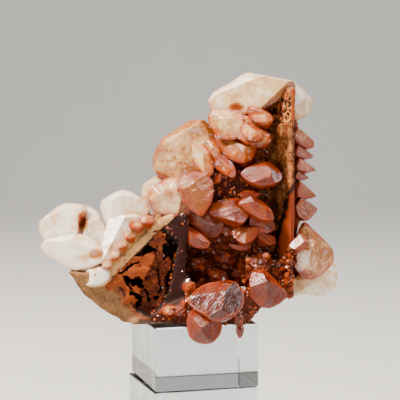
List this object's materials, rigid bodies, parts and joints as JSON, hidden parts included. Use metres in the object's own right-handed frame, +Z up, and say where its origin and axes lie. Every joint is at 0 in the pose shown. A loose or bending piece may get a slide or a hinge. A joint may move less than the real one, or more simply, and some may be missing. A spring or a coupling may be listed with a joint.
{
  "type": "calcite specimen on block stand",
  "caption": "Cluster of scale-like calcite crystals, pale outside and rust red inside, on a thin-walled brown matrix, standing on a stack of clear square blocks.",
  "frame": {"origin": "middle of the lower block's flat underside", "axes": "+Z up, +Y away from the front, +X to the right as the front is seen; the front is the side with the thin wall's edge and the hollow mould"},
  "size_m": [0.1161, 0.0609, 0.1426],
  "materials": {
    "clear_acrylic": "clear cast plastic, polished faces and edges",
    "matrix_rock": "iron-stained rock with fine drusy skin",
    "vug_druse": "fine iron-stained druse",
    "pale_calcite": "cloudy crystal, satin to vitreous faces",
    "stained_calcite": "cloudy crystal with rust rims, vitreous faces",
    "red_calcite": "iron-red crystal, vitreous faces"
  },
  "bodies": {
    "root": {"stand_block_lower": "clear_acrylic", "stand_block_upper": "clear_acrylic", "matrix": "matrix_rock", "vug_crust": "vug_druse", "crown_crystals": "pale_calcite", "shoulder_crystals": "pale_calcite", "left_crystals": "pale_calcite", "back_crystals": "pale_calcite", "side_crystals": "pale_calcite", "saddle_crystals": "stained_calcite", "blade_face_crystal": "stained_calcite", "blade_edge_crystals": "stained_calcite", "lower_crystals": "red_calcite", "lower_right_crystal": "red_calcite"}
  },
  "joints": []
}
